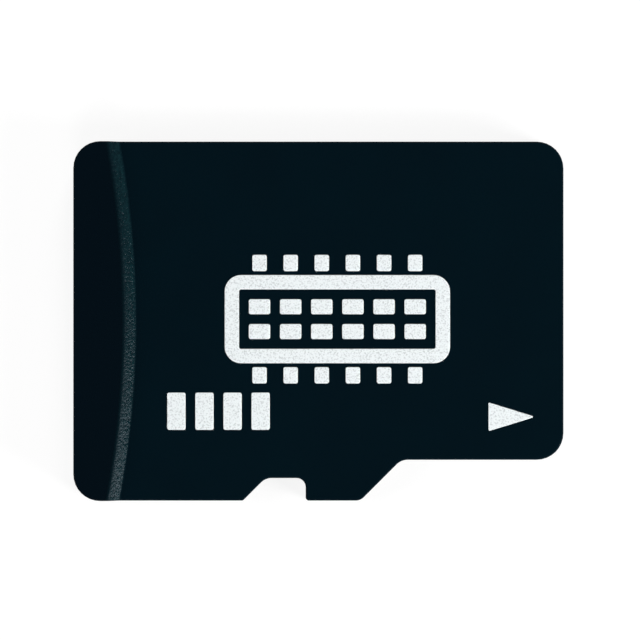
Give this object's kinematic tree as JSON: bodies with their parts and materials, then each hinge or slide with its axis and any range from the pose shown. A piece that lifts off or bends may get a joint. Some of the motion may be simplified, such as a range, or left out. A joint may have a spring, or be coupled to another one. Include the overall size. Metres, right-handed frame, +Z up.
{
  "type": "memory card",
  "caption": "Small flat memory card with a bowed finger grip, rounded corners, a stepped side with a latch notch, and a row of gold contacts let into its underside.",
  "frame": {"origin": "middle of the underside, at the bottom centre of the bounding box", "axes": "+X along the card towards its insertion edge, +Y towards its straight long side, +Z up out of the label face"},
  "size_m": [0.015, 0.011, 0.001],
  "materials": {
    "moulding": "fine matt black moulding compound with a cool tint",
    "board": "dark solder mask over glass laminate",
    "contact_gold": "hard gold plating, satin",
    "memory_silicon": "polished silicon",
    "attach_film": "amber adhesive film",
    "controller_silicon": "polished silicon",
    "bond_gold": "drawn gold wire",
    "finger_gold": "soft gold plating",
    "ceramic": "fired ceramic",
    "terminal_tin": "matt tin plating",
    "land_copper": "bare copper",
    "label_ink": "printed white ink"
  },
  "bodies": {
    "root": {"moulded_body": "moulding", "circuit_board": "board", "contact_1_data_2": "contact_gold", "contact_2_data_3": "contact_gold", "contact_3_command": "contact_gold", "contact_4_supply": "contact_gold", "contact_5_clock": "contact_gold", "contact_6_ground": "contact_gold", "contact_7_data_0": "contact_gold", "contact_8_data_1": "contact_gold", "memory_die": "memory_silicon", "memory_die_film": "attach_film", "controller_die": "controller_silicon", "controller_die_film": "attach_film", "memory_bond_wires": "bond_gold", "controller_rear_wires": "bond_gold", "controller_side_wires": "bond_gold", "memory_bond_fingers": "finger_gold", "controller_rear_fingers": "finger_gold", "controller_side_fingers": "finger_gold", "capacitor_1": "ceramic", "capacitor_2": "ceramic", "capacitor_3": "ceramic", "capacitor_1_terminals": "terminal_tin", "capacitor_2_terminals": "terminal_tin", "capacitor_3_terminals": "terminal_tin", "capacitor_lands": "land_copper"}
  },
  "joints": []
}
